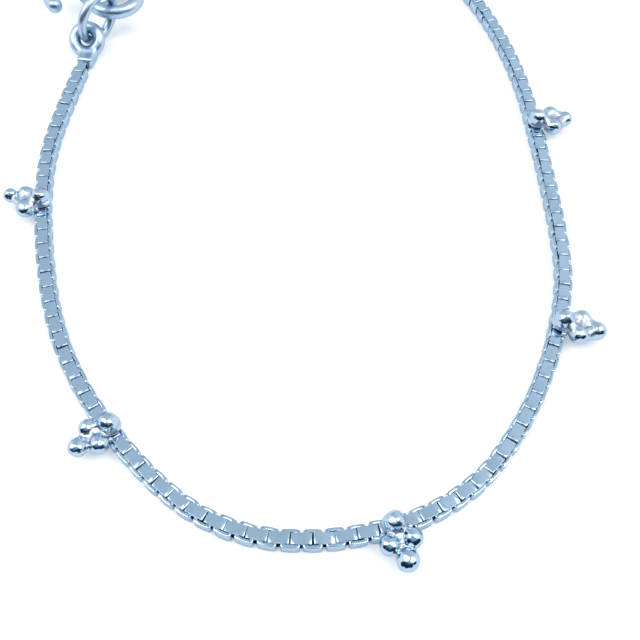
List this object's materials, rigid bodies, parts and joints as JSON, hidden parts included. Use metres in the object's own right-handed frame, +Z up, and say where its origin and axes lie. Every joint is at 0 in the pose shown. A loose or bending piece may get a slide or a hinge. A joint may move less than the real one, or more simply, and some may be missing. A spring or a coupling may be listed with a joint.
{
  "type": "chain anklet",
  "caption": "Silver box-chain anklet (payal) lying in an open loop, with clusters of small round grains along its outer side and an S-hook clasp.",
  "frame": {"origin": "centre of the loop's outline, on the surface it lies on", "axes": "+Z up off the surface, +Y along the loop's long way towards the clasp end, +X to the right across the loop"},
  "size_m": [0.0708, 0.108, 0.0076],
  "materials": {
    "silver_chain": "satin",
    "silver_grain": "polished",
    "silver_clasp": "polished"
  },
  "bodies": {
    "root": {"box_chain": "silver_chain", "cluster_1": "silver_grain", "cluster_2": "silver_grain", "cluster_3": "silver_grain", "cluster_4": "silver_grain", "cluster_5": "silver_grain", "cluster_6": "silver_grain", "cluster_7": "silver_grain", "end_loop_1": "silver_clasp", "end_loop_2": "silver_clasp", "jump_ring_1": "silver_clasp", "jump_ring_2": "silver_clasp", "s_hook": "silver_clasp"}
  },
  "joints": []
}
